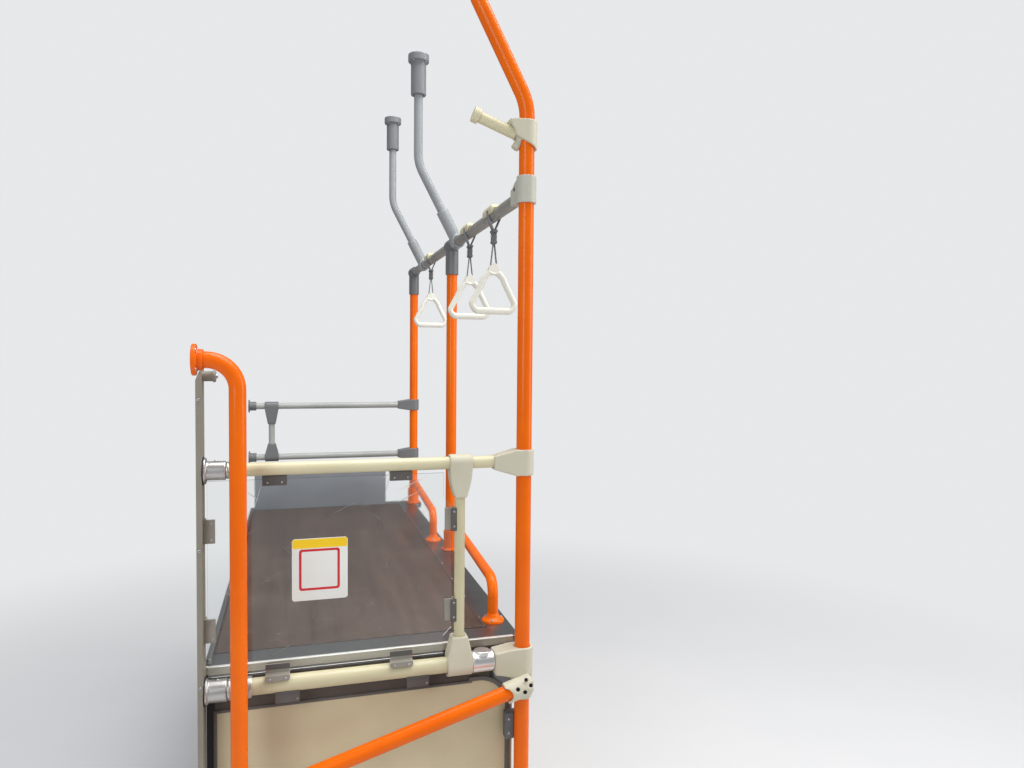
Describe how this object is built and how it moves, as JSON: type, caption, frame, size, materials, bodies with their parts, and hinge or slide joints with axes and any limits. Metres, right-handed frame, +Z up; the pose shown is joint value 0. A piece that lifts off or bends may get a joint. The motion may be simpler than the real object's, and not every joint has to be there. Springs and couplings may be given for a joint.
{
  "type": "bus luggage rack bay",
  "caption": "luggage deck over a bus's front wheel arch, with stanchions, a screened rear guard, a grab rail, low aisle rails and overhead hand straps",
  "frame": {"origin": "centre of the rear stanchion's foot, on the bus floor", "axes": "+X from the side wall to the aisle, +Y to the front of the bus, +Z up"},
  "size_m": [0.739, 1.75, 2.366],
  "materials": {
    "orange_paint": "glossy orange powder coat",
    "ivory_casting": "ivory painted castings",
    "cream_paint": "smooth cream powder coat",
    "grey_paint": "satin grey paint",
    "cast_aluminium": "plain cast aluminium",
    "polished_metal": "brushed sheet",
    "dark_plastic": "dark plastic",
    "trim_rubber": "black edge rubber",
    "deck_vinyl": "brown wood-grain vinyl",
    "clear_plastic": "clear acrylic sheet",
    "sign_blank": "blank white sheet with a yellow band",
    "handle_plastic": "off-white moulded plastic",
    "webbing": "grey woven webbing"
  },
  "bodies": {
    "bay": {"deck_tray": "polished_metal", "deck_mat": "deck_vinyl", "deck_rim": "polished_metal", "base_top_frame": "grey_paint", "base_legs": "grey_paint", "base_cross_beams": "grey_paint", "base_foot_plates": "grey_paint", "wheel_arch": "dark_plastic", "rear_panel": "cream_paint", "rear_panel_trim": "trim_rubber", "side_panel": "cream_paint", "front_base_panel": "cream_paint", "panel_clip": "dark_plastic", "wall_upright": "ivory_casting", "stanchion_foot": "orange_paint", "stanchion_rear": "orange_paint", "stanchion_rear_top": "orange_paint", "deck_stanchions": "orange_paint", "deck_feet": "orange_paint", "upper_rail": "cream_paint", "lower_rail": "cream_paint", "guard_post": "cream_paint", "post_tees": "ivory_casting", "stanchion_tees": "ivory_casting", "rail_sleeve": "cast_aluminium", "wall_sockets": "cast_aluminium", "rail_collars": "ivory_casting", "screen": "clear_plastic", "screen_clips": "cast_aluminium", "sign_plate": "sign_blank", "door_rail": "orange_paint", "door_rail_lower": "orange_paint", "door_rail_flange": "orange_paint", "swivel_clamp": "ivory_casting", "aisle_risers": "orange_paint", "aisle_bars": "orange_paint", "front_rails": "grey_paint", "front_tees": "grey_paint", "front_wall_sockets": "grey_paint", "front_panel": "grey_paint", "strap_rail": "grey_paint", "strap_rail_clamp": "ivory_casting", "pole_connectors": "grey_paint", "hangers": "ivory_casting", "hanger_clamps": "grey_paint", "ceiling_sockets": "grey_paint", "overhead_tee": "ivory_casting", "overhead_arm": "cream_paint", "strap_saddles": "cream_paint"},
    "strap_rear": {"strap_rear_belt": "webbing", "strap_rear_handle": "handle_plastic"},
    "strap_mid": {"strap_mid_belt": "webbing", "strap_mid_handle": "handle_plastic"},
    "strap_front": {"strap_front_belt": "webbing", "strap_front_handle": "handle_plastic"}
  },
  "joints": [
    {"name": "strap_rear_swing", "type": "hinge", "parent": "bay", "child": "strap_rear", "pos_m": [0, 0.275, 1.8], "axis": [0, 1, 0], "range_deg": [-60, 60]},
    {"name": "strap_mid_swing", "type": "hinge", "parent": "bay", "child": "strap_mid", "pos_m": [0, 0.545, 1.8], "axis": [0, 1, 0], "range_deg": [-60, 60]},
    {"name": "strap_front_swing", "type": "hinge", "parent": "bay", "child": "strap_front", "pos_m": [0, 1.187, 1.8], "axis": [0, 1, 0], "range_deg": [-60, 60]}
  ]
}
